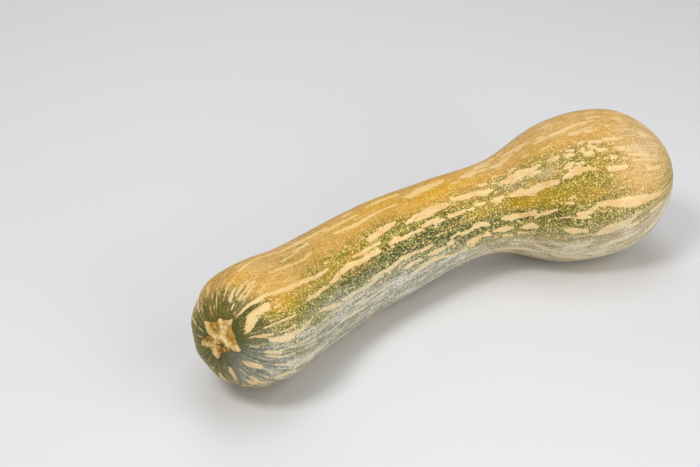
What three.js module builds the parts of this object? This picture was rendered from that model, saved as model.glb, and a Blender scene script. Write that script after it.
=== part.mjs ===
// Long-necked pumpkin, lying on its side. Millimetres, +Z up.
// +X runs along the fruit from the stem end to the blossom end.
import * as THREE from "three";
import { mergeVertices } from "three/addons/utils/BufferGeometryUtils.js";

// Middle line of the fruit, from the stem end to the blossom end.
// The fruit lies a little into z = 0 here and is pressed flat there.
const MIDDLE_LINE = [
  [-250, -44, 74],
  [-152, 6, 49.5],
  [-48, 32, 49],
  [55, 33, 57],
  [154, 2, 68],
  [251, -44, 89],
];

// Radius of the flesh at even steps along the middle line: neck, waist, bulb.
const BODY_RADII = [47.5, 53, 49.5, 48, 47.5, 44, 45.5, 68.5, 69.5, 43.5];

// Both ends round off over this length; a higher power gives a blunter end.
const STEM_END = { length: 51, power: 2.5 };
const BLOSSOM_END = { length: 49, power: 2.4 };

// Shallow ribs, strongest near the two ends.
const RIB_COUNT = 10;
const RIB_HEIGHT = 0.3;
const RIB_HEIGHT_AT_ENDS = 0.7;
const RIB_FADE_LENGTH = 70;

// Shallow dimple where the flower sat.
const DIMPLE_RADIUS = 10;
const DIMPLE_DEPTH = 2;

// Corky foot of the stalk, a little off the end's middle: five arms of their own reach and direction.
const FOOT_CENTRE = { across: 5, up: 1.5 };
const FOOT_ARMS = [
  { turn: 32, reach: 18.7 },
  { turn: 117, reach: 21.2 },
  { turn: 195, reach: 21.3 },
  { turn: 269, reach: 18.1 },
  { turn: 333, reach: 20.1 },
];
const FOOT_BAY_REACH = 13;
const FOOT_ARM_SHARPNESS = 1.5;
const FOOT_GAP = 0.3;
const FOOT_MIDDLE_HEIGHT = 5;
const FOOT_EDGE_HEIGHT = 2.6;
const FOOT_HOLLOW_DEPTH = 2;

// Fineness of the faces: rings crowd together towards the two rounded ends.
const FACES_ROUND = 80;
const RINGS_ALONG = 50;
const RING_CROWDING = 0.155;
const FOOT_FACES_PER_ARM = 12;
const LINE_STEPS = 600;
const HALVINGS = 40;
const WELD_DISTANCE = 1e-4;

const RIND = { color: 0xa88f3e, roughness: 0.55, metalness: 0 };
const CORK = { color: 0xc9a06a, roughness: 0.85, metalness: 0 };

const line = new THREE.CatmullRomCurve3(
  MIDDLE_LINE.map((p) => new THREE.Vector3(...p)),
  false,
  "catmullrom",
);
line.arcLengthDivisions = LINE_STEPS;
const LENGTH = line.getLength();

const girth = new THREE.CatmullRomCurve3(
  BODY_RADII.map((r, i) => new THREE.Vector3(i, r, 0)),
  false,
  "catmullrom",
);

// Share of the full radius left at a distance from a rounded end.
function endRounding(distance, end) {
  const inside = Math.max(0, 1 - distance / end.length);
  return Math.max(0, 1 - inside ** end.power) ** (1 / end.power);
}

function radiusAt(s) {
  const body = girth.getPoint(THREE.MathUtils.clamp(s / LENGTH, 0, 1)).y;
  return body * endRounding(s, STEM_END) * endRounding(LENGTH - s, BLOSSOM_END);
}

// Place in space: s along the middle line, angle round it (0 back, 90 degrees up), radius from it.
function placeOnLine(s, angle, radius) {
  const u = THREE.MathUtils.clamp(s / LENGTH, 0, 1);
  const along = line.getTangentAt(u);
  const side = new THREE.Vector3(0, 0, 1).cross(along).normalize();
  const up = new THREE.Vector3().crossVectors(along, side);
  return line
    .getPointAt(u)
    .addScaledVector(side, radius * Math.cos(angle))
    .addScaledVector(up, radius * Math.sin(angle))
    .addScaledVector(along, s - u * LENGTH);
}

// Body turned from a profile of (radius, height) points, without its seam.
function turned(profile, facesRound) {
  const geometry = new THREE.LatheGeometry(profile, facesRound);
  geometry.deleteAttribute("normal");
  geometry.deleteAttribute("uv");
  return mergeVertices(geometry, WELD_DISTANCE);
}

// Moves every vertex of a turned body by a rule of its height, angle and radius.
function reshape(geometry, rule) {
  const position = geometry.attributes.position;
  for (let i = 0; i < position.count; i += 1) {
    const radius = Math.hypot(position.getX(i), position.getZ(i));
    const angle = radius > 0 ? Math.atan2(position.getX(i), position.getZ(i)) : 0;
    const moved = rule(position.getY(i), angle, radius);
    position.setXYZ(i, moved.x, moved.y, moved.z);
  }
  geometry.computeVertexNormals();
  return geometry;
}

function ribLift(s, angle) {
  const toEnd = Math.min(s, LENGTH - s);
  const height = RIB_HEIGHT + (RIB_HEIGHT_AT_ENDS - RIB_HEIGHT) * Math.exp(-toEnd / RIB_FADE_LENGTH);
  return height * Math.cos(RIB_COUNT * angle);
}

function fruitProfile() {
  const profile = [];
  for (let i = 0; i <= RINGS_ALONG; i += 1) {
    const t = i / RINGS_ALONG;
    const crowded = t - RING_CROWDING * Math.sin(2 * Math.PI * t);
    const s = LENGTH * THREE.MathUtils.clamp(crowded, 0, 1);
    profile.push(new THREE.Vector2(radiusAt(s), s));
  }
  return profile;
}

function makeFruit() {
  return reshape(turned(fruitProfile(), FACES_ROUND), (s, angle, radius) => {
    const fullness = Math.min(1, radius / BODY_RADII[0]);
    const dimple = s > LENGTH / 2 ? DIMPLE_DEPTH * Math.exp(-((radius / DIMPLE_RADIUS) ** 2)) : 0;
    const place = placeOnLine(s - dimple, angle, radius + ribLift(s, angle) * fullness);
    place.z = Math.max(place.z, 0);
    return place;
  });
}

// Distance along the middle line at which the stem end has a given radius.
function stemEndDepth(radius) {
  let low = 0;
  let high = STEM_END.length;
  for (let i = 0; i < HALVINGS; i += 1) {
    const middle = (low + high) / 2;
    if (radiusAt(middle) < radius) low = middle;
    else high = middle;
  }
  return low;
}

// Even steps round the foot become even steps from one arm to the next.
// share is 1 on an arm's ridge and 0 midway between two arms.
function armAt(angle) {
  const count = FOOT_ARMS.length;
  const step = THREE.MathUtils.euclideanModulo((angle / (2 * Math.PI)) * count, count);
  const before = FOOT_ARMS[Math.floor(step)];
  const after = FOOT_ARMS[Math.ceil(step) % count];
  const t = step - Math.floor(step);
  const turn = before.turn + t * THREE.MathUtils.euclideanModulo(after.turn - before.turn, 360);
  const nearest = t < 0.5 ? before : after;
  return { turn: THREE.MathUtils.degToRad(turn), share: Math.abs(2 * t - 1), reach: nearest.reach };
}

// Foot of the stalk: its underside follows the rounded end, ridges run from the middle to the arms.
function makeStemFoot() {
  // Share of the reach and of the height: out over the top, round the edge and back underneath.
  const profile = [
    [0, 1],
    [0.2, 1],
    [0.4, 1],
    [0.6, 1],
    [0.8, 1],
    [0.95, 1],
    [1, 0.7],
    [1, 0],
    [0.75, 0],
    [0.4, 0],
    [0, 0],
  ].map(([out, level]) => new THREE.Vector2(out, level));
  const facesRound = FOOT_FACES_PER_ARM * FOOT_ARMS.length;
  return reshape(turned(profile, facesRound), (level, angle, out) => {
    const { turn, share, reach } = armAt(angle);
    const edge = FOOT_BAY_REACH + (reach - FOOT_BAY_REACH) * share ** FOOT_ARM_SHARPNESS;
    const across = FOOT_CENTRE.across + out * edge * Math.cos(turn);
    const up = FOOT_CENTRE.up + out * edge * Math.sin(turn);
    const crest = THREE.MathUtils.lerp(FOOT_MIDDLE_HEIGHT, FOOT_EDGE_HEIGHT, out);
    const hollow = FOOT_HOLLOW_DEPTH * Math.sin(Math.PI * out ** 0.8) * (1 - share);
    const radius = Math.hypot(across, up);
    const s = stemEndDepth(radius) - FOOT_GAP - level * (crest - hollow);
    return placeOnLine(s, Math.atan2(up, across), radius);
  });
}

function piece(name, geometry, looks) {
  const mesh = new THREE.Mesh(geometry, new THREE.MeshStandardMaterial(looks));
  mesh.name = name;
  return mesh;
}

const fruit = piece("fruit", makeFruit(), RIND);
const stemFoot = piece("stem_foot", makeStemFoot(), CORK);
const lying = new THREE.Group();
lying.add(fruit, stemFoot);

// The middle of the bottom of the whole fruit's box is the origin.
const box = new THREE.Box3().setFromObject(lying);
const middle = box.getCenter(new THREE.Vector3());
lying.position.set(-middle.x, -middle.y, -box.min.z);

const pumpkin = new THREE.Group();
pumpkin.add(lying);

export default pumpkin;
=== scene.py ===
# A long-necked pumpkin as picked, lying on its side on a plain pale floor.
# Metres, +Z up, +X from the stem end to the blossom end; sizes below are in millimetres.
import math

import bpy
import numpy as np
from mathutils import Matrix, Vector, noise


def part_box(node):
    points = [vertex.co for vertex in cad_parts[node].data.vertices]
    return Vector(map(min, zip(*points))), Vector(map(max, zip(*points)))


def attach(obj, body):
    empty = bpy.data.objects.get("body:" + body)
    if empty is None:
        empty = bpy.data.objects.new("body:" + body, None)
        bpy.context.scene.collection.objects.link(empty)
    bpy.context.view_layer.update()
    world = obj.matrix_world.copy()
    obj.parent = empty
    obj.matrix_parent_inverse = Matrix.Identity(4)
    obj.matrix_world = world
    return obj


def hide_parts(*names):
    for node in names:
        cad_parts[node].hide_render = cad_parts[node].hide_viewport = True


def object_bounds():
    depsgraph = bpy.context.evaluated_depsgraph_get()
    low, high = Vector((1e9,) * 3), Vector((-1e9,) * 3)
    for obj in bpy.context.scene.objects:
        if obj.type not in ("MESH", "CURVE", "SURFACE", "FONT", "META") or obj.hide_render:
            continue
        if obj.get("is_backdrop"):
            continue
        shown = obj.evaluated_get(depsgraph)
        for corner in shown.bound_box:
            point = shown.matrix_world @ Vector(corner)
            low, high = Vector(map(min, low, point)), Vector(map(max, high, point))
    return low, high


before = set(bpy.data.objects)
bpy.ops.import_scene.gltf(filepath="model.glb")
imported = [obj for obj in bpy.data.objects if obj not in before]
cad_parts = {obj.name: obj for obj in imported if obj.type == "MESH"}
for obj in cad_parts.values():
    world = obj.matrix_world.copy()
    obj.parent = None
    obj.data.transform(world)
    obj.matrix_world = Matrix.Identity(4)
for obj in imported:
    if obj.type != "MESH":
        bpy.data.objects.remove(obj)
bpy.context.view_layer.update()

# Rind of the fruit
# One grown piece: a thick bent neck, a narrow waist and a round bulb under one thin hard skin.
# It grew from the stem end; its markings run along it from the stalk to the scar of the flower.
MM = 0.001
MIDDLE_LINE = [(-250, -44, 74), (-152, 6, 49.5), (-48, 32, 49), (55, 33, 57), (154, 2, 68), (251, -44, 89)]
BODY_RADII = [47.5, 53, 49.5, 48, 47.5, 44, 45.5, 68.5, 69.5, 43.5]
# Each end rounds off over a length; a higher power gives a blunter end.
STEM_END = (51, 2.5)
BLOSSOM_END = (49, 2.4)
RIB_COUNT = 10
RIB_HEIGHT = 0.3
RIB_HEIGHT_AT_ENDS = 0.7
RIB_FADE_LENGTH = 70
DIMPLE_RADIUS = 10
DIMPLE_DEPTH = 2
# Fineness: rings crowd together towards the two rounded ends.
RIND_RINGS = 420
RIND_FACES_ROUND = 220
RING_CROWDING = 0.155
WELD_DISTANCE = 0.01
MIDDLE_STEPS = 6001
GIRTH_STEPS = 2001
CURVE_POINTS = 600


def smooth_through(points, count):
    """Points of a smooth line through the given ones (Catmull-Rom), evenly counted from one to the next."""
    p = np.array(points, float)
    p = np.vstack([2 * p[0] - p[1], p, 2 * p[-1] - p[-2]])
    t = np.linspace(0, len(points) - 1, count)
    i = np.minimum(t.astype(int), len(points) - 2)
    w = (t - i)[:, None]
    a, b, c, d = p[i], p[i + 1], p[i + 2], p[i + 3]
    slope_b, slope_c = (c - a) / 2, (d - b) / 2
    cubed = 2 * b - 2 * c + slope_b + slope_c
    squared = 3 * c - 3 * b - 2 * slope_b - slope_c
    return cubed * w**3 + squared * w**2 + slope_b * w + b


middle = smooth_through(MIDDLE_LINE, MIDDLE_STEPS)
run_along = np.r_[0, np.cumsum(np.linalg.norm(np.diff(middle, axis=0), axis=1))]
LENGTH = run_along[-1]
girth = smooth_through(list(enumerate(BODY_RADII)), GIRTH_STEPS)


def on_middle(s):
    """Place, direction, side and up of the middle line at s millimetres from the stem end."""
    s = np.asarray(s, float)
    place, ahead, behind = (
        np.stack([np.interp(s + step, run_along, middle[:, k]) for k in range(3)], -1)
        for step in (0, 0.5, -0.5)
    )
    along = (ahead - behind) / np.linalg.norm(ahead - behind, axis=-1, keepdims=True)
    side = np.cross((0, 0, 1), along)
    side /= np.linalg.norm(side, axis=-1, keepdims=True)
    return place, along, side, np.cross(along, side)


def body_radius_at(s):
    """Radius of the fruit at s, before its ends are rounded off."""
    return np.interp(np.clip(s / LENGTH, 0, 1) * (len(BODY_RADII) - 1), girth[:, 0], girth[:, 1])


def radius_at(s):
    """Radius of the fruit at s, rounded off at both ends."""
    s = np.asarray(s, float)
    body = body_radius_at(s)
    for distance, (length, power) in ((s, STEM_END), (LENGTH - s, BLOSSOM_END)):
        inside = np.clip(1 - distance / length, 0, 1)
        body = body * (1 - inside**power) ** (1 / power)
    return body


def node(tree, kind, inputs=None, **options):
    """One node of a tree, with its options set and its inputs linked or filled."""
    made = tree.nodes.new(kind)
    for name, value in options.items():
        setattr(made, name, value)
    for socket, value in (inputs or {}).items():
        if isinstance(value, bpy.types.NodeSocket):
            tree.links.new(value, made.inputs[socket])
        else:
            made.inputs[socket].default_value = value
    return made


def calculator(kind):
    """A short way to write one kind of Math node: calc(tree, "ADD", a, b)."""
    def one_step(tree, operation, *values):
        return node(tree, kind, dict(enumerate(values)), operation=operation).outputs[0]
    return one_step


calc = calculator("ShaderNodeMath")
vector_calc = calculator("ShaderNodeVectorMath")


def scaled(tree, vector, factor):
    return node(tree, "ShaderNodeVectorMath", {0: vector, "Scale": factor}, operation="SCALE").outputs[0]


def product(tree, *values):
    """All the values multiplied together."""
    total = values[0]
    for value in values[1:]:
        total = calc(tree, "MULTIPLY", total, value)
    return total


# The rind's shape is a node tree: a sheet of rings and faces, turned round the middle line.
sweep = bpy.data.node_groups.new("rind turned along its middle line", "GeometryNodeTree")
SWEEP_INPUTS = {
    "Middle Line": ("NodeSocketGeometry", None),
    "Rings": ("NodeSocketInt", RIND_RINGS),
    "Faces Round": ("NodeSocketInt", RIND_FACES_ROUND),
    "Ring Crowding": ("NodeSocketFloat", RING_CROWDING),
    "Stem Round Length": ("NodeSocketFloat", STEM_END[0] * MM),
    "Stem Round Power": ("NodeSocketFloat", STEM_END[1]),
    "Blossom Round Length": ("NodeSocketFloat", BLOSSOM_END[0] * MM),
    "Blossom Round Power": ("NodeSocketFloat", BLOSSOM_END[1]),
    "Rib Count": ("NodeSocketFloat", RIB_COUNT),
    "Rib Height": ("NodeSocketFloat", RIB_HEIGHT * MM),
    "Rib Height At Ends": ("NodeSocketFloat", RIB_HEIGHT_AT_ENDS * MM),
    "Rib Fade Length": ("NodeSocketFloat", RIB_FADE_LENGTH * MM),
    "Full Radius": ("NodeSocketFloat", BODY_RADII[0] * MM),
    "Dimple Radius": ("NodeSocketFloat", DIMPLE_RADIUS * MM),
    "Dimple Depth": ("NodeSocketFloat", DIMPLE_DEPTH * MM),
    "Skin": ("NodeSocketMaterial", None),
}
sweep_ids = {}
for name, (kind, _) in SWEEP_INPUTS.items():
    socket = sweep.interface.new_socket(name, in_out="INPUT", socket_type=kind)
    sweep_ids[name] = socket.identifier
sweep.interface.new_socket("Rind", in_out="OUTPUT", socket_type="NodeSocketGeometry")
given = sweep.nodes.new("NodeGroupInput").outputs
grid = node(sweep, "GeometryNodeMeshGrid", {
    "Vertices X": calc(sweep, "ADD", given["Rings"], 1.0),
    "Vertices Y": calc(sweep, "ADD", given["Faces Round"], 1.0),
})
sheet_place = sweep.nodes.new("GeometryNodeInputPosition").outputs[0]
spot = node(sweep, "ShaderNodeSeparateXYZ", {0: sheet_place}).outputs
part_along = calc(sweep, "ADD", spot["X"], 0.5)
angle = product(sweep, calc(sweep, "ADD", spot["Y"], 0.5), math.tau)
wave = calc(sweep, "SINE", product(sweep, part_along, math.tau))
crowded = calc(sweep, "SUBTRACT", part_along, product(sweep, wave, given["Ring Crowding"]))
whole = node(sweep, "GeometryNodeCurveLength", {0: given["Middle Line"]}).outputs[0]
from_stem = product(sweep, crowded, whole)
from_blossom = calc(sweep, "SUBTRACT", whole, from_stem)
line = node(sweep, "GeometryNodeSampleCurve", {
    "Curves": given["Middle Line"],
    "Value": sweep.nodes.new("GeometryNodeInputRadius").outputs[0],
    "Length": from_stem,
}, mode="LENGTH", use_all_curves=True).outputs
side = vector_calc(sweep, "NORMALIZE", vector_calc(sweep, "CROSS_PRODUCT", (0, 0, 1), line["Tangent"]))
up = vector_calc(sweep, "CROSS_PRODUCT", line["Tangent"], side)
radius = line["Value"]
for end, distance in (("Stem", from_stem), ("Blossom", from_blossom)):
    power = given[f"{end} Round Power"]
    inside = calc(sweep, "SUBTRACT", 1.0, calc(sweep, "DIVIDE", distance, given[f"{end} Round Length"]))
    fallen = calc(sweep, "POWER", calc(sweep, "MAXIMUM", inside, 0.0), power)
    left_over = calc(sweep, "MAXIMUM", calc(sweep, "SUBTRACT", 1.0, fallen), 0.0)
    radius = product(sweep, radius, calc(sweep, "POWER", left_over, calc(sweep, "DIVIDE", 1.0, power)))
to_end = calc(sweep, "MINIMUM", from_stem, from_blossom)
fade = product(sweep, calc(sweep, "DIVIDE", to_end, given["Rib Fade Length"]), -1.0)
rib_rise = calc(sweep, "SUBTRACT", given["Rib Height At Ends"], given["Rib Height"])
rib = calc(sweep, "ADD", given["Rib Height"], product(sweep, rib_rise, calc(sweep, "EXPONENT", fade)))
rib = product(sweep, rib, calc(sweep, "COSINE", product(sweep, angle, given["Rib Count"])))
fullness = calc(sweep, "MINIMUM", calc(sweep, "DIVIDE", radius, given["Full Radius"]), 1.0)
ribbed = calc(sweep, "ADD", radius, product(sweep, rib, fullness))
off_axis = calc(sweep, "POWER", calc(sweep, "DIVIDE", radius, given["Dimple Radius"]), 2.0)
dip = product(sweep, calc(sweep, "EXPONENT", product(sweep, off_axis, -1.0)), given["Dimple Depth"])
dip = product(sweep, dip, calc(sweep, "GREATER_THAN", from_stem, from_blossom))
cosine = calc(sweep, "COSINE", angle)
sine = calc(sweep, "SINE", angle)
outward = vector_calc(sweep, "ADD", scaled(sweep, side, cosine), scaled(sweep, up, sine))
place = vector_calc(sweep, "ADD", line["Position"], scaled(sweep, outward, ribbed))
place = vector_calc(sweep, "SUBTRACT", place, scaled(sweep, line["Tangent"], dip))
# It is pressed flat where it lies: z is held at 0 or above, x and y are free.
FAR_OFF = -10.0
lowest = node(sweep, "ShaderNodeCombineXYZ", {0: FAR_OFF, 1: FAR_OFF, 2: 0.0}).outputs[0]
place = vector_calc(sweep, "MAXIMUM", place, lowest)
shape = grid.outputs["Mesh"]
for name, value in (("run", from_stem), ("turn_cosine", cosine), ("turn_sine", sine)):
    shape = node(sweep, "GeometryNodeStoreNamedAttribute", {
        "Geometry": shape, "Name": name, "Value": value,
    }, data_type="FLOAT", domain="POINT").outputs[0]
for kind, inputs in (
    ("GeometryNodeSetPosition", {"Position": place}),
    ("GeometryNodeMergeByDistance", {"Distance": WELD_DISTANCE * MM}),
    ("GeometryNodeFlipFaces", {}),
    ("GeometryNodeSetShadeSmooth", {}),
    ("GeometryNodeRealizeInstances", {}),
    ("GeometryNodeSetMaterial", {"Material": given["Skin"]}),
):
    shape = node(sweep, kind, {0: shape, **inputs}).outputs[0]
node(sweep, "NodeGroupOutput", {0: shape})

rind_skin = bpy.data.materials.new("mottled rind")
rind_skin.use_nodes = True

spine = bpy.data.curves.new("middle line of the fruit", "CURVE")
spine.dimensions = "3D"
spline = spine.splines.new("POLY")
spline.points.add(CURVE_POINTS - 1)
for point, s in zip(spline.points, np.linspace(0, LENGTH, CURVE_POINTS)):
    point.co = (*(on_middle(s)[0] * MM), 1)
    point.radius = float(body_radius_at(s)) * MM
spine_object = bpy.data.objects.new("middle line of the fruit", spine)
bpy.context.scene.collection.objects.link(spine_object)
swept = spine_object.modifiers.new("rind", "NODES")
swept.node_group = sweep
for name, (_, value) in SWEEP_INPUTS.items():
    if value is not None:
        swept[sweep_ids[name]] = value
swept[sweep_ids["Skin"]] = rind_skin
bpy.context.view_layer.update()
rind_mesh = bpy.data.meshes.new_from_object(spine_object.evaluated_get(bpy.context.evaluated_depsgraph_get()))
bpy.data.objects.remove(spine_object)

# The middle of the fruit's box stands where the solid's box has its middle.
rind = bpy.data.objects.new("rind", rind_mesh)
bpy.context.scene.collection.objects.link(rind)
points = np.empty(len(rind_mesh.vertices) * 3)
rind_mesh.vertices.foreach_get("co", points)
points = points.reshape(-1, 3)
low, high = (np.array(c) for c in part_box("fruit"))
shift = (low + high) / 2 - (points.min(0) + points.max(0)) / 2
shift[2] = 0
points += shift
rind_mesh.vertices.foreach_set("co", points.ravel())

# Cream marks, each a stroke through (millimetres from the stem, degrees round it, width in millimetres).
# Round it: 0 is the far side, 90 the top, 180 the near side and 270 underneath.
MARKS = [
    [(6, 62, 1), (22, 61, 1.6), (44, 65, 1.2)],
    [(33, 78, 3), (60, 79, 3.5), (98, 81, 2.6), (126, 78, 4), (170, 78, 3)],
    [(66, 88, 1), (105, 89, 2), (135, 87, 3), (133, 82, 2)],
    [(9, 83, 2), (16, 85, 2.5)],
    [(13, 91, 2), (25, 93, 2.5)],
    [(11, 97, 2), (26, 100, 2)],
    [(11, 103, 1.5), (23, 103, 1.5)],
    [(70, 99, 2), (90, 97, 2.6), (116, 90, 2)],
    [(42, 105, 2), (60, 107, 3), (84, 108, 2.6), (106, 106, 2.6), (121, 102, 2.4)],
    [
        (4, 109, 1.5), (14, 116, 3), (28, 122, 3.5), (42, 127, 4),
        (62, 127.5, 3.5), (92, 129, 3.5), (121, 126, 2.5),
    ],
    [(8, 75, 1), (20, 76, 1.4)],
    [(8, 126, 5), (17, 129, 6)],
    [(8, 128, 5), (6, 137, 4.5), (3.5, 145, 2.5)],
    [(10, 151, 1.4), (22, 151, 1.8), (36, 151.5, 1.2)],
    [(49, 145, 2), (70, 144, 3), (90, 142, 3), (105, 141.5, 2)],
    [(108, 140, 2), (124, 138.5, 4), (133, 135.5, 4), (150, 135, 5.5), (168, 137, 4), (192, 137, 5)],
    [(160, 129, 2), (175, 130, 4), (199, 130, 2)],
    [(8, 160, 1.6), (14, 162, 2)],
    [(12, 168, 2.5), (19, 171, 5.5), (28, 168.5, 4.5), (38, 166.5, 3), (57, 161, 1.6)],
    [(63, 160, 1.5), (79, 158.5, 2.5), (88, 161, 4), (105, 162, 3.5), (115, 164, 3.5)],
    [(70, 169, 1.5), (90, 167.5, 2), (118, 169, 2)],
    [(118, 161, 2), (140, 162, 4), (161, 164, 4), (177, 162.5, 2)],
    [(168, 159, 2), (200, 160.5, 3.5), (213, 157, 3.5), (226, 157.5, 3), (238, 159, 2)],
    [(238, 158.5, 2), (246, 160, 4), (257, 160, 2.5)],
    [(138, 174, 2), (152, 177, 3), (170, 178, 2), (186, 176, 3), (198, 178, 1.5)],
    [(114, 182, 3), (132, 182, 4), (153, 185, 3)],
    [(22, 181, 1.2), (40, 178, 1.6), (57, 175.5, 1.2)],
    [(10, 184, 2), (18, 185, 3)],
    [(11, 190, 2), (20, 191, 2.5), (33, 187, 1.5)],
    [(18, 201, 2), (35, 202, 2)],
    [(5, 215, 4), (9, 209, 4)],
    [(27, 219, 3), (33, 213, 5), (42, 211, 3)],
    [(40, 206, 3), (52, 202, 5), (70, 199, 5), (90, 201, 3)],
    [(12, 233, 2.5), (19, 237, 4), (32, 232, 3)],
    [(5, 255, 3), (12, 259, 3)],
    [(165, 84, 2), (185, 83, 3), (206, 84, 2)],
    [(195, 75, 3), (208, 74, 2.5)],
    [(221, 80, 3), (236, 78, 5), (259, 80, 4)],
    [(167, 94, 2.5), (182, 96, 5), (200, 98, 4), (219, 96, 3)],
    [(222, 96, 2.5), (246, 97, 2)],
    [(261, 91, 4), (268, 92, 7), (282, 88, 10), (296, 87, 7), (309, 85, 4)],
    [(312, 98, 2.5), (322, 98, 2.5)],
    [(326, 91, 4), (334, 91, 10), (341, 88, 6)],
    [(343, 83, 4), (357, 84, 4)],
    [(190, 122, 5), (200, 121, 7), (214, 119.5, 5), (228, 118, 2)],
    [(237, 125, 1.5), (248, 123.5, 6), (265, 124.5, 9), (280, 122.5, 7), (293, 124, 4)],
    [(301, 121, 3), (312, 122.5, 4.5), (328, 123, 5.5), (336, 126, 7.5), (348, 125.5, 3)],
    [(206, 137, 2.5), (218, 135.5, 5.5), (226, 138, 4), (240, 138, 3.5), (251, 139, 2)],
    [(254, 136, 3.5), (263, 136, 5), (272, 137, 5), (281, 139, 2.5)],
    [(286, 138, 2), (296, 139, 4.5), (308, 139, 3)],
    [(313, 140.5, 3), (319, 141, 3)],
    [(321, 136.5, 3), (333, 139, 3)],
    [(342, 140, 3), (351, 139.5, 5), (356, 138.5, 2.5)],
    [(262, 152, 1), (279, 154, 1)],
    [(284, 151, 1), (318, 151.5, 1.2)],
    [(282, 163.5, 2.5), (290, 163, 2.5)],
    [(292, 162, 3), (299, 164.5, 4), (307, 165, 3)],
    [(308, 164, 3), (316, 162, 5), (326, 163, 4.5), (333, 167, 2.5)],
    [(276, 169, 4), (284, 168.5, 4)],
    [(247, 168, 2.5), (256, 169.5, 4.5), (273, 170, 3)],
    [(216, 169, 3), (225, 168, 3.5), (237, 168, 3)],
    [(219, 183, 2), (228, 179, 5), (241, 177.5, 5.5), (256, 177, 5), (265, 180, 3)],
    [(266, 180, 2.5), (275, 184, 3), (284, 188, 3.5), (301, 187.5, 3)],
    [(306, 187, 3), (312, 186, 3)],
    [(301, 180, 3), (309, 178, 6), (320, 178, 3)],
    [(323, 179, 3), (328, 178, 5), (332, 180, 4)],
    [(337, 177, 2.5), (343, 177, 5), (350, 178, 7), (358, 178, 3.5)],
    [(349, 164, 3), (358, 165, 6), (370, 164.5, 4.5), (382, 163, 5)],
    [(382, 168, 3.5), (391, 164.5, 3.5), (402, 163, 3)],
    [(372, 179, 5), (377, 177.5, 7), (383, 179, 3)],
    [(365, 186, 2.5), (371, 186, 2.5)],
    [(348, 188, 3), (357, 189, 3)],
    [(358, 94, 4), (366, 95, 5.5), (373, 92, 5), (379, 90, 3)],
    [(372, 84, 3), (382, 86, 4), (398, 89, 3)],
    [(402, 97, 4), (413, 97.5, 4)],
    [(420, 97, 5), (430, 98, 7), (446, 96, 5), (467, 95, 4)],
    [(357, 120.5, 2), (368, 122, 7.5), (377, 122, 7), (397, 120.5, 2.5)],
    [(405, 120, 2.5), (414, 120.5, 2.5)],
    [(426, 117.5, 3), (434, 119, 2.5)],
    [(424, 122, 3.5), (432, 122.5, 3.5)],
    [(419, 131, 3), (425, 131, 3)],
    [(432, 131, 3), (439, 131, 2.5)],
    [(443, 126, 4.5), (451, 126, 4.5)],
    [(450, 120, 3), (456, 122, 3.5)],
    [(452, 117, 3), (464, 118, 3)],
    [(459, 125, 4), (466, 126, 4.5)],
    [(467, 117, 3.5), (481, 119, 3.5)],
    [(462, 133, 2.5), (470, 131, 3)],
    [(479, 127, 5), (489, 130, 5)],
    [(362, 139, 4), (371, 139.5, 7), (380, 142, 5.5), (393, 139.5, 6.5), (408, 140.5, 4)],
    [(414, 139, 2.5), (424, 136.5, 6), (440, 137, 5), (450, 139, 3)],
    [(463, 141.5, 4), (471, 142, 5), (481, 142.5, 4)],
    [(487, 134, 2), (500, 135, 3), (516, 137, 2.5)],
    [(490, 139, 2.5), (503, 140, 3), (518, 141, 2)],
    [(502, 149, 3), (517, 149, 3)],
    [(410, 154.5, 2.5), (421, 155, 2.5)],
    [(411, 159, 3), (417, 159, 3)],
    [(423, 163, 2.5), (431, 163, 2.5)],
    [(401, 171, 2), (413, 170, 2.5)],
    [(422, 169, 4), (431, 169, 6), (442, 166.5, 2)],
    [(417, 172, 2.5), (433, 173, 3)],
    [(443, 165, 4), (456, 166, 6), (466, 168, 8), (474, 169.5, 11), (484, 171, 10.5), (494, 172, 8)],
    [(492, 170.5, 3), (504, 173, 3), (514, 176, 1.5)],
    [(494, 174, 3.5), (505, 176, 3), (512, 178, 1.5)],
    [(408, 181, 3.5), (416, 183, 6), (427, 184, 5)],
    [(443, 189, 7), (454, 187.5, 11), (467, 187, 9), (481, 185, 3)],
    [(479, 183, 3), (487, 182, 3)],
    [(471, 192, 4), (483, 192, 4)],
    [(499, 188, 3.5), (513, 189, 3.5)],
    [(382, 203, 4), (392, 207, 5), (401, 210, 3)],
    [(401, 215, 6), (429, 220, 8)],
    [(344, 215, 6), (378, 213, 5)],
    [(430, 213, 5), (448, 216, 5)],
]
# The rest of the rind has marks of the same kind in rows along the fruit,
# (degrees round it, first and last millimetres from the stem).
MORE_MARKS_SEED = 11
MORE_MARKS_ROWS = [(turn, 6, 530) for turn in (7, 25, 43, 243, 261, 279, 297, 315, 333, 351)]
MORE_MARKS_ROWS += [(61, 180, 530), (225, 90, 480)]
# Small flecks are scattered over the whole rind, in rows evenly spaced round it.
FLECK_SEED = 5
FLECK_COUNT = 420
FLECK_RUN = (20, 520)
FLECK_WIDTH = (0.8, 2.2)
FLECK_ROWS = 40
# Soft small blotches lie close together on the top of the bulb.
BLOTCH_SEED = 3
BLOTCH_COUNT = 60
BLOTCH_RUN = (330, 520)
BLOTCH_TURN = (66, 136)
BLOTCH_WIDTH = (1.6, 4.2)
# Short thin dashes stand all round the stalk, longer the farther they are from it.
DASH_SEED = 8
DASH_COUNT = 110
DASH_RUN = (2.5, 22)
DASH_WIDTH = (0.6, 1.5)

marks = list(MARKS)
seeded = np.random.default_rng(MORE_MARKS_SEED)
for turn, start, stop in MORE_MARKS_ROWS:
    s = start + seeded.uniform(0, 20)
    while s < stop - 10:
        length = min(seeded.gamma(3.0, 9.0) + 6, stop - s)
        width = seeded.uniform(2.5, 5.5) * min(1, 0.55 + length / 60)
        drift = seeded.normal(0, 2.0, 4) + turn
        marks.append([
            (s, drift[0], width * 0.5),
            (s + length * 0.3, drift[1], width * 1.1),
            (s + length * 0.7, drift[2], width),
            (s + length, drift[3], width * 0.45),
        ])
        s += length + seeded.gamma(2.0, 5.0)


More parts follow.
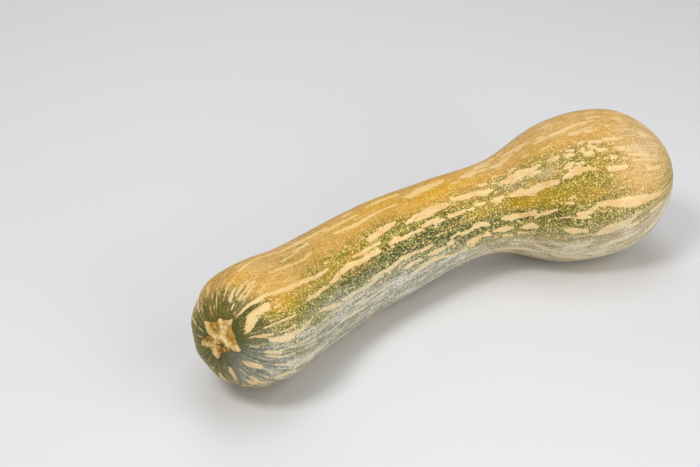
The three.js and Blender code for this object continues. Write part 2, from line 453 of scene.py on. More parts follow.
def short_mark(draws, s, turn, width, lengths, drift):
    """A mark of two points; lengths are the least and the most, as shares of its width."""
    stop = s + width * draws.uniform(*lengths)
    return [(s, turn, width), (stop, turn + draws.normal(0, drift), width * 0.8)]


seeded = np.random.default_rng(FLECK_SEED)
fleck_run = seeded.uniform(*FLECK_RUN, FLECK_COUNT)
fleck_turn = seeded.integers(0, FLECK_ROWS, FLECK_COUNT) * (360 // FLECK_ROWS)
fleck_turn = fleck_turn + seeded.normal(0, 1.6, FLECK_COUNT)
for s, turn, width in zip(fleck_run, fleck_turn, seeded.uniform(*FLECK_WIDTH, FLECK_COUNT)):
    marks.append(short_mark(seeded, s, turn, width, (0.5, 3.5), 0.6))
seeded = np.random.default_rng(BLOTCH_SEED)
blotch_run = seeded.uniform(*BLOTCH_RUN, BLOTCH_COUNT)
for s, turn in zip(blotch_run, seeded.uniform(*BLOTCH_TURN, BLOTCH_COUNT)):
    marks.append(short_mark(seeded, s, turn, seeded.uniform(*BLOTCH_WIDTH), (0.6, 3), 0.8))
seeded = np.random.default_rng(DASH_SEED)
for turn in seeded.uniform(0, 360, DASH_COUNT):
    s = seeded.uniform(*DASH_RUN)
    length = seeded.uniform(3, 9) * (0.35 + s / 25)
    width = seeded.uniform(*DASH_WIDTH)
    bent = turn + seeded.normal(0, 1)
    marks.append([(s, turn, width * 0.7), (s + length / 2, bent, width), (s + length, turn, width * 0.5)])


def read_numbers(mesh, name):
    """One number for each point of a mesh, from its attribute of that name."""
    values = np.empty(len(mesh.vertices))
    mesh.attributes[name].data.foreach_get("value", values)
    return values


def write_numbers(mesh, name, values):
    mesh.attributes.new(name, "FLOAT", "POINT").data.foreach_set("value", np.asarray(values, np.float32))


def turn_between(a, b):
    """Degrees from b to a, the short way round."""
    return (a - b + 180) % 360 - 180


# Where each point of the rind lies: millimetres from the stem, degrees round the fruit, radius there.
run = read_numbers(rind_mesh, "run") / MM
turn_sines, turn_cosines = read_numbers(rind_mesh, "turn_sine"), read_numbers(rind_mesh, "turn_cosine")
degrees_round = np.degrees(np.arctan2(turn_sines, turn_cosines)) % 360
reach = radius_at(run)

# How far inside a mark each point lies, in millimetres, negative outside; and how wide that mark is.
FAR_OUTSIDE = -12.0
USUAL_WIDTH = 5.0
LEAST_REACH = 3
MOST_DEGREES_AWAY = 60
inside_mark = np.full(len(run), FAR_OUTSIDE)
mark_width = np.full(len(run), USUAL_WIDTH)
for mark in marks:
    stops = np.array([point[0] for point in mark])
    close = (run > stops.min() + FAR_OUTSIDE) & (run < stops.max() - FAR_OUTSIDE)
    close &= np.abs(turn_between(degrees_round, mark[0][1])) < MOST_DEGREES_AWAY
    index = np.where(close)[0]
    if not len(index):
        continue
    run_here, turn_here, reach_here = run[index], degrees_round[index], np.maximum(reach[index], LEAST_REACH)
    best = np.full(len(index), FAR_OUTSIDE)
    best_width = np.full(len(index), USUAL_WIDTH)
    for (s0, t0, w0), (s1, t1, w1) in zip(mark, mark[1:]):
        to_x, to_y = run_here - s0, np.radians(turn_between(turn_here, t0)) * reach_here
        go_x, go_y = s1 - s0, np.radians(turn_between(t1, t0)) * reach_here
        along = np.clip((to_x * go_x + to_y * go_y) / (go_x**2 + go_y**2 + 1e-9), 0, 1)
        away = np.hypot(to_x - along * go_x, to_y - along * go_y)
        width = w0 + (w1 - w0) * along
        best_width = np.where(width / 2 - away > best, width, best_width)
        best = np.maximum(best, width / 2 - away)
    mark_width[index] = np.where(best > inside_mark[index], best_width, mark_width[index])
    inside_mark[index] = np.maximum(inside_mark[index], best)
write_numbers(rind_mesh, "inside_mark", inside_mark)
write_numbers(rind_mesh, "mark_width", mark_width)

# Soft washes over the rind: ripe orange on top, green on the near side, a grey bloom below. The grey below is
# partly real bloom and partly painted reflection of the pale table; one ripe wash is painted shade on the far
# top of the neck and one bloom wash is a painted sheen on the far top of the bulb. Each is
# (millimetres from the stem, degrees round it, reach along, reach round in degrees, amount).
RIPE_MIDDLE = 72
RIPE_FULL_WITHIN = 36
RIPE_GONE_BEYOND = 74
DEEP_EVERYWHERE = 0.1
RIPE_AND_SHADE_WASHES = [
    (6, 90, 12, 90, -0.8),
    # Painted shade: the far top of the neck made less ripe, darker and greener, where less light falls.
    (170, 52, 130, 14, -0.4),
    (48, 122, 26, 10, 0.55),
    (24, 139, 16, 9, 0.5),
    (77, 100, 8, 5, -0.6),
    (125, 84, 8, 5, -0.6),
    (110, 118, 60, 10, -0.25),
    (190, 118, 70, 12, -0.35),
    (225, 128, 34, 10, -0.15),
    (285, 148, 40, 10, 0.2),
    (365, 116, 30, 10, -0.4),
    (385, 142, 30, 10, 0.3),
    (430, 126, 44, 12, -0.3),
    (425, 144, 30, 7, -0.3),
    (450, 153, 34, 10, 0.6),
    (505, 150, 26, 26, 0.9),
    (515, 178, 16, 12, 0.35),
]
GOLD_WASHES = [
    (20, 75, 9, 6, 0.6),
    (31, 85, 11, 8, 0.7),
    (232, 84, 70, 22, 0.7),
    (225, 87, 12, 7, 0.4),
    (295, 104, 44, 10, 0.9),
    (320, 84, 40, 16, 0.5),
    (400, 108, 30, 8, 0.4),
    (420, 150, 60, 12, 0.9),
    (28, 136, 18, 8, 0.7),
    (325, 150, 14, 6, 0.7),
    (350, 143, 12, 6, 0.7),
    (370, 152, 14, 6, 0.6),
    (130, 130, 60, 8, 0.4),
]
PEACH_WASHES = [
    (52, 116, 22, 9, 0.8),
    (110, 74, 70, 18, 0.25),
    (368, 86, 36, 18, 0.4),
    (450, 88, 60, 22, 0.7),
    (510, 116, 30, 46, 1.0),
    (44, 86, 16, 14, 0.6),
    (490, 150, 24, 14, 0.5),
]
# Grey bloom: partly real bloom, partly painted reflection of the pale table on the lower flank and underside.
BLOOM_AND_SHEEN_WASHES = [
    (105, 190, 84, 26, 1.0),
    # A painted sheen: reflection of the pale table on the far top of the bulb.
    (440, 58, 70, 12, 0.6),
    (150, 200, 90, 20, 0.4),
    (190, 184, 84, 20, 0.95),
    (40, 172, 20, 14, 0.35),
    (24, 164, 16, 30, -0.35),
    (100, 157, 34, 6, 0.4),
    (250, 196, 50, 16, 0.6),
    (285, 208, 60, 16, 0.7),
    (350, 212, 50, 18, 0.9),
    (440, 206, 60, 18, 1.0),
    (505, 206, 34, 22, 0.9),
    (510, 124, 24, 34, 0.5),
    (366, 126, 14, 7, 0.45),
    (400, 131, 8, 5, 0.4),
    (300, 240, 260, 34, 0.7),
    (60, 225, 50, 20, 0.4),
    (430, 226, 120, 22, 0.9),
    (190, 214, 150, 14, 0.7),
    (14, 190, 18, 40, 0.5),
    (8, 226, 11, 36, 0.75),
]
DEEP_WASHES = [
    (3, 90, 9, 200, 1.0),
    (20, 100, 12, 26, 0.5),
    (230, 144, 60, 9, 0.6),
    (250, 160, 110, 8, 0.4),
    (400, 160, 60, 10, 0.3),
    (10, 205, 16, 26, 0.3),
    (190, 148, 75, 10, 0.9),
    (245, 150, 30, 9, 0.5),
    (300, 168, 34, 12, 0.8),
    (375, 166, 42, 14, 0.6),
    (430, 178, 40, 6, 0.3),
    (100, 152, 50, 7, 0.4),
    (514, 180, 22, 9, 0.8),
    (18, 200, 26, 50, 0.4),
    (16, 110, 14, 40, 0.3),
]
# Marks turn paler and greyer low on the near side and underneath: partly painted reflection of the pale
# table, as in the bloom there.
PALE_WASHES = [
    (60, 190, 60, 34, 1.0),
    (150, 172, 60, 16, 1.0),
    (200, 190, 90, 26, 1.0),
    (380, 214, 80, 14, 1.0),
    (450, 218, 70, 14, 1.0),
    (465, 188, 34, 10, 0.6),
]


def washed(washes, start):
    """The amount at every point of the rind: a start, then all the washes, held between 0 and 1."""
    total = np.array(start, float) * np.ones(len(run))
    for s, turn, along, round_it, amount in washes:
        off_turn = turn_between(degrees_round, turn)
        total += amount * np.exp(-(((run - s) / along) ** 2) - ((off_turn / round_it) ** 2))
    return np.clip(total, 0, 1)


off_ripe = np.abs(turn_between(degrees_round, RIPE_MIDDLE))
ripe_start = np.clip((RIPE_GONE_BEYOND - off_ripe) / (RIPE_GONE_BEYOND - RIPE_FULL_WITHIN), 0, 1)
for name, washes, start in (
    ("ripe_and_shade", RIPE_AND_SHADE_WASHES, ripe_start),
    ("bloom_and_sheen", BLOOM_AND_SHEEN_WASHES, 0),
    ("deep", DEEP_WASHES, DEEP_EVERYWHERE),
    ("gold", GOLD_WASHES, 0),
    ("peach", PEACH_WASHES, 0),
    ("pale", PALE_WASHES, 0),
):
    write_numbers(rind_mesh, name, washed(washes, start))


def ink(red, green, blue):
    """A colour as it looks on a screen, 0 to 255 each, in the linear values that a socket takes."""
    return (*(((c / 255 + 0.055) / 1.055) ** 2.4 if c > 10 else c / 3294.6 for c in (red, green, blue)), 1)


def blend_of(tree, share, first, second):
    """The first ink turned into the second by a share. A Mix node takes them at 6 and 7."""
    inputs = {"Factor": share, 6: first, 7: second}
    return node(tree, "ShaderNodeMix", inputs, data_type="RGBA", clamp_factor=True).outputs[2]


def layered(tree, base, *layers):
    """Inks laid over a base one after another, each as (share, ink)."""
    for share, over in layers:
        base = blend_of(tree, share, base, over)
    return base


def ramp(tree, value, low, high, to_low=0.0, to_high=1.0):
    """value from low to high becomes to_low to to_high, smoothly and no further."""
    return node(tree, "ShaderNodeMapRange", {
        "Value": value, "From Min": low, "From Max": high, "To Min": to_low, "To Max": to_high,
    }, interpolation_type="SMOOTHSTEP").outputs[0]


def number_of(tree, name):
    return node(tree, "ShaderNodeAttribute", attribute_name=name).outputs["Fac"]


def places_in_mm(tree):
    """Where a point of the piece lies, in millimetres."""
    return scaled(tree, tree.nodes.new("ShaderNodeTexCoord").outputs["Object"], 1 / MM)


def grain(tree, where, size, detail=2.0, roughness=0.5):
    """Soft noise between about 0 and 1, with bumps of about size in the units of where."""
    return node(tree, "ShaderNodeTexNoise", {
        "Vector": where, "Scale": 1 / size, "Detail": detail, "Roughness": roughness,
    }).outputs[0]


skin = rind_skin.node_tree
skin.nodes.clear()
in_mm = places_in_mm(skin)
run_mm = product(skin, number_of(skin, "run"), 1 / MM)
ripe_and_shade, bloom_and_sheen, deep, gold, peach, pale = (
    number_of(skin, name) for name in ("ripe_and_shade", "bloom_and_sheen", "deep", "gold", "peach", "pale")
)
# Millimetres from the stem over which the inks of the neck turn into those of the bulb.
NECK_TO_BULB = (260.0, 380.0)
on_bulb = ramp(skin, run_mm, *NECK_TO_BULB)
STRAIGHT_RADIUS = 50.0
straight_across = product(skin, number_of(skin, "turn_cosine"), STRAIGHT_RADIUS)
straight_up = product(skin, number_of(skin, "turn_sine"), STRAIGHT_RADIUS)


def straightened(shortening):
    """Places on a straightened fruit of one radius, so that patterns draw together at both ends.

    The run is shortened, which stretches a pattern along the fruit.
    """
    return node(skin, "ShaderNodeCombineXYZ", {
        0: product(skin, run_mm, shortening), 1: straight_across, 2: straight_up,
    }).outputs[0]


def uneven(value, *moves):
    """A wash with its edge broken up by noises, each (noise, how far it moves the wash)."""
    for noise_of, amount in moves:
        value = calc(skin, "ADD", value, product(skin, calc(skin, "SUBTRACT", noise_of, 0.5), amount))
    return value


def neck_to_bulb(neck_ink, bulb_ink):
    """One ink on the neck that turns into another on the bulb."""
    return blend_of(skin, on_bulb, neck_ink, bulb_ink)


streak = grain(skin, straightened(0.05), 2.4, 3.0, 0.62)
patch = grain(skin, straightened(0.45), 7.0, 3.0)
wide_patch = grain(skin, straightened(0.3), 15.0, 3.0)
cloud = grain(skin, in_mm, 28.0, 3.0)

# Specks: small pale dots of their own sizes in a darker net, some of them brighter and a few larger.
# They are drawn out a little along X, and their places wander.
SPECK_STRETCH = (0.8, 1.0, 1.0)
WANDERS_PER_MM = 0.7
WANDER_REACH = 1.5
wander = node(skin, "ShaderNodeTexNoise", {"Vector": in_mm, "Scale": WANDERS_PER_MM, "Detail": 2.0})
wander = scaled(skin, wander.outputs["Color"], WANDER_REACH)
warped = vector_calc(skin, "ADD", vector_calc(skin, "MULTIPLY", in_mm, SPECK_STRETCH), wander)


def dots_of(cell, smallest, largest, least_chance, soft):
    """Round dots, one in each cell of so many millimetres, from smallest to largest as shares of a cell.

    Each cell draws a chance: up to least_chance its dot is the smallest, or none where that is below 0.
    """
    cells = node(skin, "ShaderNodeTexVoronoi", {"Vector": warped, "Scale": 1 / cell, "Randomness": 1.0})
    chance = node(skin, "ShaderNodeSeparateColor", {0: cells.outputs["Color"]}).outputs[0]
    size = ramp(skin, chance, least_chance, 1.0, smallest, largest)
    return ramp(skin, calc(skin, "SUBTRACT", cells.outputs["Distance"], size), soft, -soft)


fine_dot = dots_of(1.3, smallest=0.26, largest=0.54, least_chance=0.0, soft=0.12)
bright_dot = dots_of(2.1, smallest=-0.1, largest=0.34, least_chance=0.35, soft=0.08)
large_dot = dots_of(4.6, smallest=-0.15, largest=0.3, least_chance=0.68, soft=0.05)

# Ground: the dots ripen from olive green to golden orange before the net between them does.
ripe_and_shade_here = uneven(ripe_and_shade, (patch, 1.3), (wide_patch, 1.1), (cloud, 0.3))
ripe_and_shade_net, ripe_and_shade_dots = (
    node(skin, "ShaderNodeMapRange", {"Value": ripe_and_shade_here, "From Min": none, "From Max": full}).outputs[0]
    for none, full in ((0.15, 1.0), (-0.1, 0.7))
)
deep_here = uneven(deep, (patch, 1.2), (wide_patch, -1.0), (streak, -0.5))
gold_here = product(skin, gold, ramp(skin, wide_patch, 0.38, 0.58, 0.45, 1.0))
peach_here = product(skin, peach, ramp(skin, patch, 0.35, 0.6, 0.5, 1.0))
# The grey below, partly real bloom and partly painted reflection of the pale table, laid over the net and the
# dots.
bloom_and_sheen_here = product(
    skin, bloom_and_sheen, ramp(skin, streak, 0.32, 0.6, 0.35, 1.0), ramp(skin, wide_patch, 0.35, 0.55, 0.7, 1.0),
)
net = layered(
    skin, ink(120, 108, 34),
    (deep_here, ink(56, 62, 26)),
    (ripe_and_shade_net, ink(190, 144, 62)),
    (gold_here, blend_of(skin, ripe_and_shade, ink(160, 132, 26), ink(200, 146, 28))),
    (peach_here, ink(214, 168, 96)),
    (bloom_and_sheen_here, neck_to_bulb(ink(154, 156, 148), ink(192, 176, 146))),
)
dots = layered(
    skin, ink(214, 198, 102),
    (deep_here, ink(172, 168, 90)),
    (ripe_and_shade_dots, ink(224, 180, 98)),
    (gold_here, ink(228, 184, 66)),
    (peach_here, ink(238, 198, 132)),
    (bloom_and_sheen_here, neck_to_bulb(ink(222, 219, 206), ink(232, 217, 190))),
)
light_streak = blend_of(skin, ripe_and_shade_dots, ink(186, 172, 96), ink(238, 200, 124))
light_streak = blend_of(skin, bloom_and_sheen, light_streak, ink(226, 218, 198))
dark_streak = blend_of(skin, ripe_and_shade_net, ink(72, 76, 28), ink(176, 130, 48))
dark_streak = blend_of(skin, bloom_and_sheen, dark_streak, neck_to_bulb(ink(114, 116, 104), ink(154, 146, 116)))
streak_share = ramp(skin, bloom_and_sheen, 0.0, 1.0, 0.25, 0.5)
bright_share = product(
    skin, bright_dot, ramp(skin, ripe_and_shade_net, 0.3, 1.0, 1.0, 0.2), ramp(skin, bloom_and_sheen, 0.3, 0.9, 1.0, 0.25),
)
large_share = product(skin, large_dot, ramp(skin, ripe_and_shade, 0.3, 1.0, 0.7, 0.3))
# Lighter clouds and darker gaps in the grey below, which is partly painted reflection of the pale table.
bloom_and_sheen_cloud = product(skin, ramp(skin, patch, 0.5, 0.68), bloom_and_sheen, 0.4)
bloom_and_sheen_gap = product(skin, ramp(skin, patch, 0.5, 0.34), bloom_and_sheen, 0.4)
ground = layered(
    skin, net,
    (fine_dot, dots),
    (bloom_and_sheen_cloud, ink(230, 220, 200)),
    (bloom_and_sheen_gap, neck_to_bulb(ink(116, 118, 104), ink(152, 142, 108))),
    (product(skin, ramp(skin, streak, 0.5, 0.7), streak_share), light_streak),
    (product(skin, ramp(skin, streak, 0.5, 0.3), streak_share), dark_streak),
    (bright_share, ink(240, 228, 150)),
    (large_share, ink(232, 210, 142)),
)

# Round the stalk, and round the scar of the flower, thin dark and light lines run together.
# Each fades in between two places along the fruit, in millimetres from the stem.
STALK_RAYS = (22.0, 4.0)
STALK_RING = (4.0, 1.0)
FLOWER_RAYS = (LENGTH - 46, LENGTH - 16)
FLOWER_SCAR = (LENGTH - 0.7, LENGTH - 0.3)
ray = grain(skin, straightened(0.03), 1.6, 3.0, 0.6)
ray_light = ramp(skin, ray, 0.44, 0.68)
ray_ink = blend_of(
    skin, bloom_and_sheen,
    blend_of(skin, ray_light, ink(72, 74, 28), ink(152, 136, 60)),
    blend_of(skin, ray_light, ink(80, 85, 60), ink(142, 140, 110)),
)
ray_share = product(skin, ramp(skin, run_mm, *STALK_RAYS), ramp(skin, bloom_and_sheen, 0.1, 0.8, 0.78, 0.6))
flower_share = product(skin, ramp(skin, run_mm, *FLOWER_RAYS), ramp(skin, deep, 0.25, 0.7))
scar_edge = uneven(run_mm, (grain(skin, in_mm, 2.5, 3.0), 0.5))
ground = layered(
    skin, ground,
    (ray_share, ray_ink),
    (ramp(skin, run_mm, *STALK_RING, 0.0, 0.6), blend_of(skin, bloom_and_sheen, ink(70, 72, 28), ink(88, 94, 72))),
    (flower_share, blend_of(skin, ramp(skin, ray, 0.42, 0.56), ink(96, 98, 36), ink(222, 190, 124))),
    (ramp(skin, scar_edge, *FLOWER_SCAR), ink(158, 124, 76)),
)

# Marks: cream to peach, each with an uneven edge, softer where the rind is ripe, greyer low on the near side
# and underneath, where bloom and painted reflection of the pale table lie.
tear = uneven(0.0, (grain(skin, straightened(0.35), 4.0, 2.0), 5.0), (grain(skin, in_mm, 1.6, 2.0), 3.6))
tear = product(skin, tear, ramp(skin, number_of(skin, "mark_width"), 0.0, 6.0, 0.15, 1.0))
soft = ramp(skin, ripe_and_shade, 0.4, 1.0, 0.35, 1.0)
torn = calc(skin, "ADD", number_of(skin, "inside_mark"), tear)
tint = grain(skin, straightened(0.4), 5.0, 2.0)
mark_ink = layered(
    skin, ink(238, 208, 142),
    (ramp(skin, tint, 0.36, 0.54), ink(232, 196, 140)),
    (ramp(skin, tint, 0.52, 0.72), ink(228, 180, 112)),
    (ramp(skin, ripe_and_shade, 0.5, 1.0), neck_to_bulb(ink(242, 208, 138), ink(236, 206, 150))),
    (product(skin, pale, 0.8), ink(216, 206, 176)),
    (product(skin, fine_dot, 0.2), ink(250, 234, 180)),
)
mark_share = product(
    skin, ramp(skin, torn, product(skin, soft, -1.0), soft),
    ramp(skin, ripe_and_shade, 0.3, 1.0, 0.92, 0.68), ramp(skin, pale, 0.0, 1.0, 1.0, 0.8),
)

SKIN_GRAIN_HEIGHT = 0.12
skin_height = product(skin, grain(skin, straightened(0.16), 5.0), 1.5)
skin_height = calc(skin, "ADD", grain(skin, in_mm, 2.2, 3.0), skin_height)
skin_bump = node(skin, "ShaderNodeBump", {
    "Strength": 0.35, "Distance": SKIN_GRAIN_HEIGHT * MM, "Height": skin_height,
})
skin_surface = node(skin, "ShaderNodeBsdfPrincipled", {
    "Base Color": blend_of(skin, mark_share, ground, mark_ink),
    "Roughness": ramp(skin, grain(skin, in_mm, 6.0, 3.0), 0.3, 0.7, 0.42, 0.55),
    "Normal": skin_bump.outputs[0],
    "IOR": 1.42,
    "Specular IOR Level": 0.35,
})
node(skin, "ShaderNodeOutputMaterial", {0: skin_surface.outputs[0]})

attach(rind, "root")
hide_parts("fruit")

# Foot of the stalk
# Dry cork, left where the stalk snapped off: five ridges and a small sixth one spread over the end
# of the fruit. It is grown onto the rind and lies on it with its thin edge.
FOOT_CENTRE = (5.0, 1.5)
# Outline seen from the stalk, (degrees round, reach in millimetres): a tip for each ridge, bays between.
FOOT_OUTLINE = [
    (3, 9.5), (6.7, 11.2), (10, 13.2), (16.2, 14.7), (24.2, 16.3), (28, 18), (32, 18.7),
    (36, 16.8), (39.6, 15.7), (47, 14.4), (54.8, 13.7), (64, 13.4), (71.7, 13.7), (80.5, 15.7),
    (87.2, 16.3), (92, 16.1), (98.3, 15.9), (107, 17.3), (113.5, 19.1), (117, 21), (119, 20.4),
    (122, 18.9), (128.8, 16.4), (139.4, 14.9), (149.8, 14.9), (159.4, 15.6), (171.8, 15.5), (181.3, 17),
    (188, 18.9), (192.6, 20.7), (195, 21.2), (199, 20.3), (203, 17.8), (210.7, 14.9), (220, 13.2),
    (231, 12.4), (247.6, 12.3), (255, 12.8), (260, 14), (265, 16.5), (269, 18), (274, 17.9),
    (281.7, 17.3), (289, 16.7), (297, 15.2), (306, 15.2), (313.8, 17.3), (319.7, 18.9), (328, 20),
    (333, 20), (337, 17.7), (343, 14.6), (348.5, 12), (354.7, 9.7),
]
# Ridges over its top, (across, up) in millimetres from the middle of the fruit's end.
FOOT_RIDGES = [
    [(1, 3.9), (1.3, 7.2), (0.4, 10.9), (-0.5, 13.6), (-1.9, 16.1), (-4, 18.6), (-5.2, 20.2)],
    [(1, 3.9), (-1.1, 2.8), (-4.1, 0.2), (-7.9, -1.4), (-11.6, -3.1), (-15, -3.6)],
    [(1, 3.9), (5.7, 3.3), (9.8, 3.8), (13, 4.1), (15.4, 5.4), (17.2, 7.6), (19.8, 11)],
    [(5.7, 3.3), (5.4, 0), (7.5, -5.1), (7.4, -9.6), (5.9, -12.8), (4.3, -15.8)],
    [(7.5, -5.1), (13.2, -6.6), (17.7, -7.9), (21.5, -7.2)],
    [(0.4, 10.9), (2.2, 12.9), (4.1, 14.8), (5.6, 17)],
]
FOOT_MIDDLE_HEIGHT = 5
FOOT_EDGE_HEIGHT = 2.6
FOOT_LEAST_HEIGHT = 0.5
FOOT_HOLLOW_DEPTH = 2.2
FOOT_RIDGE_HALF_WIDTH = 4.2
FOOT_SUNK = 0.4
# The outline wobbles by this share of its reach, and its last part bends down by the rim's drop.
FOOT_WOBBLE = 0.03
FOOT_RIM_FROM = 0.88
FOOT_RIM_DROP = 0.7
# Lumps of the cork, (height, size, place in the noise).
FOOT_LUMPS = [(1.1, 3.4, 0.3), (0.7, 1.5, 7.7), (0.35, 0.7, 2.2)]
FOOT_FACES_ROUND = 300
FOOT_TOP_RINGS = 80
DEPTH_STEPS = 4001

depth_table = np.linspace(0, STEM_END[0], DEPTH_STEPS)
radius_table = radius_at(depth_table)


def on_stem_end(across, up, height):
    """A point height above the rounded stem end, at (across, up) in its cross-section, in metres."""
    out = np.hypot(across, up)
    s = np.interp(out, radius_table, depth_table) - height
    place, along, side, rise = on_middle(np.maximum(s, 0))
    place = place + along * np.minimum(s, 0)[:, None]
    return (place + side * np.asarray(across)[:, None] + rise * np.asarray(up)[:, None]) * MM + shift


def away_from_ridges(x, y):
    """Millimetres from (x, y) to the nearest ridge line."""
    nearest = np.full(len(x), np.inf)
    for ridge_line in FOOT_RIDGES:
        for (x0, y0), (x1, y1) in zip(ridge_line, ridge_line[1:]):
            go_x, go_y = x1 - x0, y1 - y0
            along = np.clip(((x - x0) * go_x + (y - y0) * go_y) / (go_x**2 + go_y**2), 0, 1)
            nearest = np.minimum(nearest, np.hypot(x - x0 - along * go_x, y - y0 - along * go_y))
    return nearest


def noise_at(x, y, size, place):
    """Soft noise between about -1 and 1 at each (x, y), with bumps of about size."""
    return np.array([noise.noise(Vector((a / size, b / size, place))) for a, b in zip(x, y)])


foot_degrees = np.arange(FOOT_FACES_ROUND) * 360 / FOOT_FACES_ROUND
foot_cosine, foot_sine = np.cos(np.radians(foot_degrees)), np.sin(np.radians(foot_degrees))
outline_turns, outline_reaches = zip(*FOOT_OUTLINE)
foot_edge = np.interp(foot_degrees, outline_turns, outline_reaches, period=360)
foot_edge *= 1 + FOOT_WOBBLE * noise_at(foot_cosine * 9, foot_sine * 9, 1.2, 3.1)

# Rings of the foot, (share of the reach, share of the height): over the top, round the edge, underneath.
rings = [(out, 1.0) for out in np.linspace(0, 1, FOOT_TOP_RINGS)[1:]]
rings += [(1.0, level) for level in (0.8, 0.6, 0.4, 0.2, 0.0)]
rings += [(out, 0.0) for out in (0.8, 0.6, 0.4, 0.2)]
across, rising, height, ridge = [], [], [], []
for reach_share, level in rings:
    x = FOOT_CENTRE[0] + reach_share * foot_edge * foot_cosine
    y = FOOT_CENTRE[1] + reach_share * foot_edge * foot_sine
    crest = FOOT_MIDDLE_HEIGHT + (FOOT_EDGE_HEIGHT - FOOT_MIDDLE_HEIGHT) * reach_share
    off_ridge = np.clip(away_from_ridges(x, y) / FOOT_RIDGE_HALF_WIDTH, 0, 1)
    hollow = FOOT_HOLLOW_DEPTH * off_ridge**2 * (3 - 2 * off_ridge) * (1.15 - 0.5 * reach_share)
    lumps = sum(lump * noise_at(x, y, size, place) for lump, size, place in FOOT_LUMPS)
    rim = FOOT_RIM_DROP * np.clip((reach_share - FOOT_RIM_FROM) / (1 - FOOT_RIM_FROM), 0, 1) ** 2
    top = np.maximum(crest - hollow + lumps - rim, FOOT_LEAST_HEIGHT)
    across.append(x)
    rising.append(y)
    height.append(top * level - FOOT_SUNK * (1 - level))
    ridge.append(1 - off_ridge + lumps * 0.35)
across, rising, height, ridge = (np.concatenate(part) for part in (across, rising, height, ridge))
foot_ends = np.array([(*FOOT_CENTRE, FOOT_MIDDLE_HEIGHT), (*FOOT_CENTRE, -FOOT_SUNK)])
foot_points = np.vstack([on_stem_end(across, rising, height), on_stem_end(*foot_ends.T)])
top_point, under_point = len(foot_points) - 2, len(foot_points) - 1


def ring_point(ring, step):
    """Number of the point that stands so many steps round a ring."""
    return ring * FOOT_FACES_ROUND + step % FOOT_FACES_ROUND


last_ring = len(rings) - 1
faces = [
    (ring_point(i, j), ring_point(i, j + 1), ring_point(i + 1, j + 1), ring_point(i + 1, j))
    for i in range(last_ring) for j in range(FOOT_FACES_ROUND)
]
for j in range(FOOT_FACES_ROUND):
    faces.append((top_point, ring_point(0, j + 1), ring_point(0, j)))
    faces.append((under_point, ring_point(last_ring, j), ring_point(last_ring, j + 1)))
foot_mesh = bpy.data.meshes.new("stem foot")
foot_mesh.from_pydata(foot_points.tolist(), [], faces)
foot_mesh.polygons.foreach_set("use_smooth", [True] * len(foot_mesh.polygons))
# The lower arms, below this height in millimetres, have darker pits.
PITS_BELOW = -2
write_numbers(foot_mesh, "ridge", np.r_[ridge, 1.0, 0.5])
write_numbers(foot_mesh, "lower", np.r_[rising, 0.0, 0.0] < PITS_BELOW)
foot = bpy.data.objects.new("stem_foot_cork", foot_mesh)
bpy.context.scene.collection.objects.link(foot)

cork = bpy.data.materials.new("dry cork of the stalk")
cork.use_nodes = True
wood = cork.node_tree
wood.nodes.clear()
wood_in_mm = places_in_mm(wood)
crumbs = product(wood, calc(wood, "SUBTRACT", grain(wood, wood_in_mm, 2.2, 4.0, 0.7), 0.5), 2.8)
raised = calc(wood, "ADD", number_of(wood, "ridge"), crumbs)
cork_ink = layered(
    wood, ink(166, 126, 38),
    (ramp(wood, raised, -0.1, 0.6), ink(210, 168, 92)),
    (ramp(wood, raised, 0.45, 1.05), ink(226, 202, 144)),
    (product(wood, number_of(wood, "lower"), ramp(wood, raised, 0.35, 0.0), 0.6), ink(104, 64, 24)),
    (ramp(wood, grain(wood, wood_in_mm, 0.7, 3.0), 0.5, 0.75, 0.0, 0.4), ink(186, 138, 70)),
)
CORK_GRAIN_HEIGHT = 0.4
cork_bump = node(wood, "ShaderNodeBump", {
    "Strength": 0.6, "Distance": CORK_GRAIN_HEIGHT * MM, "Height": grain(wood, wood_in_mm, 0.9, 4.0, 0.7),
})
cork_surface = node(wood, "ShaderNodeBsdfPrincipled", {
    "Base Color": cork_ink, "Roughness": 0.85, "Normal": cork_bump.outputs[0],
})
node(wood, "ShaderNodeOutputMaterial", {0: cork_surface.outputs[0]})
foot_mesh.materials.append(cork)

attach(foot, "root")
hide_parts("stem_foot")

# Floor, light and camera
# A plain pale table top in a bright room. The strongest light comes from high at the left front and
# a broad one hangs overhead; two more fill from the right and a weak one stands behind.
floor_mesh = bpy.data.meshes.new("table top")
floor_mesh.from_pydata([(-6, -6, 0), (6, -6, 0), (6, 8, 0), (-6, 8, 0)], [], [(0, 1, 2, 3)])
floor = bpy.data.objects.new("table_top", floor_mesh)
bpy.context.scene.collection.objects.link(floor)
paper = bpy.data.materials.new("pale table")
paper.use_nodes = True
sheet = paper.node_tree.nodes["Principled BSDF"]
sheet.inputs["Base Color"].default_value = ink(225, 225, 227)
sheet.inputs["Roughness"].default_value = 0.6
floor_mesh.materials.append(paper)
floor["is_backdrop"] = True

# The camera is turned about +Z from a view along +Y and looks down; its place is in millimetres.
CAMERA_TURN = math.radians(-34.58)
CAMERA_RISE = math.radians(30)
CAMERA_PLACE = (-695.7, -869.3, 712.7)
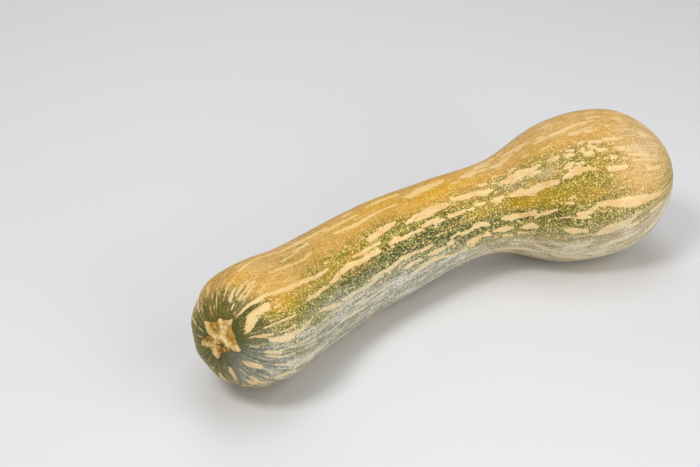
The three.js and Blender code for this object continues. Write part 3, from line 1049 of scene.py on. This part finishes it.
FOCAL_LENGTH = 72
SENSOR_WIDTH = 36
right = Vector((math.cos(CAMERA_TURN), math.sin(CAMERA_TURN), 0))
forward = Vector((-math.sin(CAMERA_TURN), math.cos(CAMERA_TURN), 0))
back = Vector((
    math.sin(CAMERA_TURN) * math.cos(CAMERA_RISE),
    -math.cos(CAMERA_TURN) * math.cos(CAMERA_RISE),
    math.sin(CAMERA_RISE),
))
camera_data = bpy.data.cameras.new("camera")
camera_data.lens = FOCAL_LENGTH
camera_data.sensor_width = SENSOR_WIDTH
camera = bpy.data.objects.new("camera", camera_data)
frame_of_view = Matrix((right, back.cross(right), back)).transposed().to_4x4()
camera.matrix_world = Matrix.Translation(Vector(CAMERA_PLACE) * MM + Vector(shift)) @ frame_of_view
bpy.context.scene.collection.objects.link(camera)
bpy.context.scene.camera = camera

LIGHTS_AIM = Vector((0, 0, 0.05))
ROOM_LIGHT = 0.23


def soft_light(name, across, away, height, size, power):
    """A square soft light, placed as seen from the camera: metres to the right, away from it and up."""
    data = bpy.data.lights.new(name, "AREA")
    data.shape = "SQUARE"
    data.size = size
    data.energy = power
    lamp = bpy.data.objects.new(name, data)
    lamp.location = right * across + forward * away + Vector((0, 0, height))
    lamp.rotation_euler = (LIGHTS_AIM - lamp.location).to_track_quat("-Z", "Y").to_euler()
    bpy.context.scene.collection.objects.link(lamp)


soft_light("light at the left front", -0.9, -0.9, 1.9, 0.6, 20)
soft_light("light overhead", 0, 0.35, 2, 1.3, 11.5)
soft_light("light at the right", 1.4, -0.6, 1.3, 1.3, 9)
soft_light("low light at the right front", 1.2, -1.6, 0.6, 1.0, 15.5)
soft_light("weak light behind", -0.4, 1.7, 1.2, 1.0, 4.8)
world = bpy.data.worlds.new("soft room")
world.use_nodes = True
room = world.node_tree.nodes["Background"]
room.inputs["Color"].default_value = (1, 1, 1, 1)
room.inputs["Strength"].default_value = ROOM_LIGHT
bpy.context.scene.world = world
bpy.context.scene.view_settings.view_transform = "Standard"

low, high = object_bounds()
